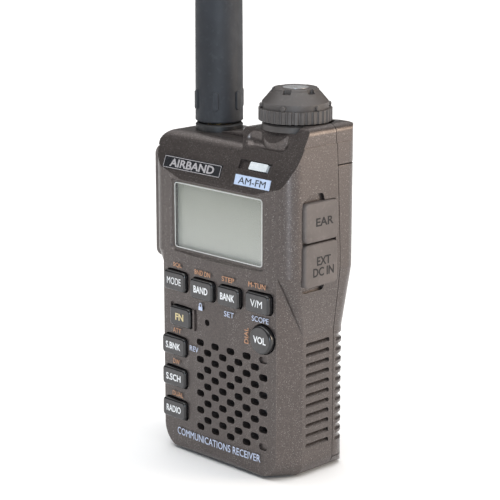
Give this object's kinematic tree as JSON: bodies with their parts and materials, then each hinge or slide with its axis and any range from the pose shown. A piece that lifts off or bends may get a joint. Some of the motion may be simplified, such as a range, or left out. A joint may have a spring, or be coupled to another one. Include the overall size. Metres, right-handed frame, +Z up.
{
  "type": "handheld radio receiver",
  "caption": "Pocket radio receiver with a screw-on rubber antenna, dial knob, framed display, pressing keys, speaker grille, side jack covers and a hinged battery door.",
  "frame": {"origin": "middle of the flat base, under the case's centre plane", "axes": "+Z up along the antenna; the display and keys face -Y; +X is to the right seen from the front, the side with the jack covers"},
  "size_m": [0.047, 0.0241, 0.178],
  "materials": {
    "case_paint": "dark grey-brown paint with fine metallic flecks",
    "soft_rubber": "matte moulded rubber",
    "antenna_rubber": "matte blue-black rubber",
    "key_plastic": "grey key tops with glossy black flanks",
    "dial_plastic": "satin moulded plastic",
    "badge_metal": "brushed disc",
    "clear_window": "clear polished window",
    "display_glass": "grey-green display glass",
    "light_guide": "milky light guide",
    "black_plastic": "black moulded plastic",
    "steel": "plain steel",
    "brass": "plated brass",
    "board": "solder-masked board",
    "plate_ink": "black nameplate",
    "label_ink": "pale blue printed label",
    "paper_cone": "dark speaker paper",
    "battery_wrap": "battery case"
  },
  "bodies": {
    "case": {"front_case": "case_paint", "rear_chassis": "case_paint", "case_screws": "steel", "lcd_window": "clear_window", "lcd_panel": "display_glass", "lcd_backlight": "light_guide", "lcd_frame": "steel", "lcd_connector": "black_plastic", "name_plate": "plate_ink", "range_label": "label_ink", "lamp_lens": "clear_window", "lamp_led": "light_guide", "keypad_mat": "soft_rubber", "key_domes": "steel", "main_board": "board", "radio_board": "board", "shield_can": "steel", "board_connector": "black_plastic", "logic_chips": "black_plastic", "speaker_felt": "paper_cone", "speaker_frame": "steel", "speaker_cone": "paper_cone", "speaker_magnet": "steel", "side_key_pad": "soft_rubber", "side_switches": "black_plastic", "ear_jack": "black_plastic", "supply_jack": "black_plastic", "antenna_jack": "brass", "antenna_flange": "black_plastic", "dial_encoder": "steel", "encoder_nut": "steel", "dial_collar": "dial_plastic", "battery_pack": "battery_wrap", "battery_contacts": "black_plastic"},
    "dial": {"dial_ring": "dial_plastic", "dial_hub": "dial_plastic", "dial_cap": "dial_plastic", "dial_badge": "badge_metal", "dial_shaft": "steel"},
    "antenna": {"antenna_sleeve": "antenna_rubber", "antenna_coupling": "brass", "antenna_core": "brass"},
    "mode_key": {"mode_key": "key_plastic"},
    "band_key": {"band_key": "key_plastic"},
    "bank_key": {"bank_key": "key_plastic"},
    "memory_key": {"memory_key": "key_plastic"},
    "function_key": {"function_key": "key_plastic"},
    "bank_search_key": {"bank_search_key": "key_plastic"},
    "search_key": {"search_key": "key_plastic"},
    "radio_key": {"radio_key": "key_plastic"},
    "volume_key": {"volume_key": "key_plastic"},
    "power_key": {"power_key": "soft_rubber"},
    "monitor_key": {"monitor_key": "soft_rubber"},
    "ear_cover": {"ear_cover": "soft_rubber"},
    "supply_cover": {"supply_cover": "soft_rubber"},
    "battery_door": {"battery_door": "case_paint"},
    "battery_latch": {"battery_latch": "black_plastic"}
  },
  "joints": [
    {"name": "dial_turn", "type": "hinge", "parent": "case", "child": "dial", "pos_m": [0.0122, 0.0016, 0.0825], "axis": [0, 0, 1], "continuous": true},
    {"name": "antenna_unscrew", "type": "hinge", "parent": "case", "child": "antenna", "pos_m": [-0.0122, 0.0016, 0.0825], "axis": [0, 0, 1], "range_deg": [0, 1440]},
    {"name": "mode_key_press", "type": "slide", "parent": "case", "child": "mode_key", "axis": [0, 1, 0], "range_m": [0, 0.0005], "stiffness_N_per_m": 400, "springref_m": -0.0005},
    {"name": "band_key_press", "type": "slide", "parent": "case", "child": "band_key", "axis": [0, 1, 0], "range_m": [0, 0.0005], "stiffness_N_per_m": 400, "springref_m": -0.0005},
    {"name": "bank_key_press", "type": "slide", "parent": "case", "child": "bank_key", "axis": [0, 1, 0], "range_m": [0, 0.0005], "stiffness_N_per_m": 400, "springref_m": -0.0005},
    {"name": "memory_key_press", "type": "slide", "parent": "case", "child": "memory_key", "axis": [0, 1, 0], "range_m": [0, 0.0005], "stiffness_N_per_m": 400, "springref_m": -0.0005},
    {"name": "function_key_press", "type": "slide", "parent": "case", "child": "function_key", "axis": [0, 1, 0], "range_m": [0, 0.0005], "stiffness_N_per_m": 400, "springref_m": -0.0005},
    {"name": "bank_search_key_press", "type": "slide", "parent": "case", "child": "bank_search_key", "axis": [0, 1, 0], "range_m": [0, 0.0005], "stiffness_N_per_m": 400, "springref_m": -0.0005},
    {"name": "search_key_press", "type": "slide", "parent": "case", "child": "search_key", "axis": [0, 1, 0], "range_m": [0, 0.0005], "stiffness_N_per_m": 400, "springref_m": -0.0005},
    {"name": "radio_key_press", "type": "slide", "parent": "case", "child": "radio_key", "axis": [0, 1, 0], "range_m": [0, 0.0005], "stiffness_N_per_m": 400, "springref_m": -0.0005},
    {"name": "volume_key_press", "type": "slide", "parent": "case", "child": "volume_key", "axis": [0, 1, 0], "range_m": [0, 0.0005], "stiffness_N_per_m": 400, "springref_m": -0.0005},
    {"name": "power_key_press", "type": "slide", "parent": "case", "child": "power_key", "axis": [1, 0, 0], "range_m": [0, 0.0005], "stiffness_N_per_m": 400, "springref_m": -0.0005},
    {"name": "monitor_key_press", "type": "slide", "parent": "case", "child": "monitor_key", "axis": [1, 0, 0], "range_m": [0, 0.0005], "stiffness_N_per_m": 400, "springref_m": -0.0005},
    {"name": "ear_cover_hinge", "type": "hinge", "parent": "case", "child": "ear_cover", "pos_m": [0.0231, -0.0013, 0.0557], "axis": [0, 1, 0], "range_deg": [0, 88], "stiffness_Nm_per_rad": 0.004},
    {"name": "supply_cover_hinge", "type": "hinge", "parent": "case", "child": "supply_cover", "pos_m": [0.0231, -0.0013, 0.0552], "axis": [0, -1, 0], "range_deg": [0, 88], "stiffness_Nm_per_rad": 0.004},
    {"name": "battery_door_hinge", "type": "hinge", "parent": "case", "child": "battery_door", "pos_m": [0, 0.0112, 0.0714], "axis": [1, 0, 0], "range_deg": [0, 75]},
    {"name": "battery_latch_slide", "type": "slide", "parent": "case", "child": "battery_latch", "axis": [1, 0, 0], "range_m": [0, 0.003]}
  ]
}
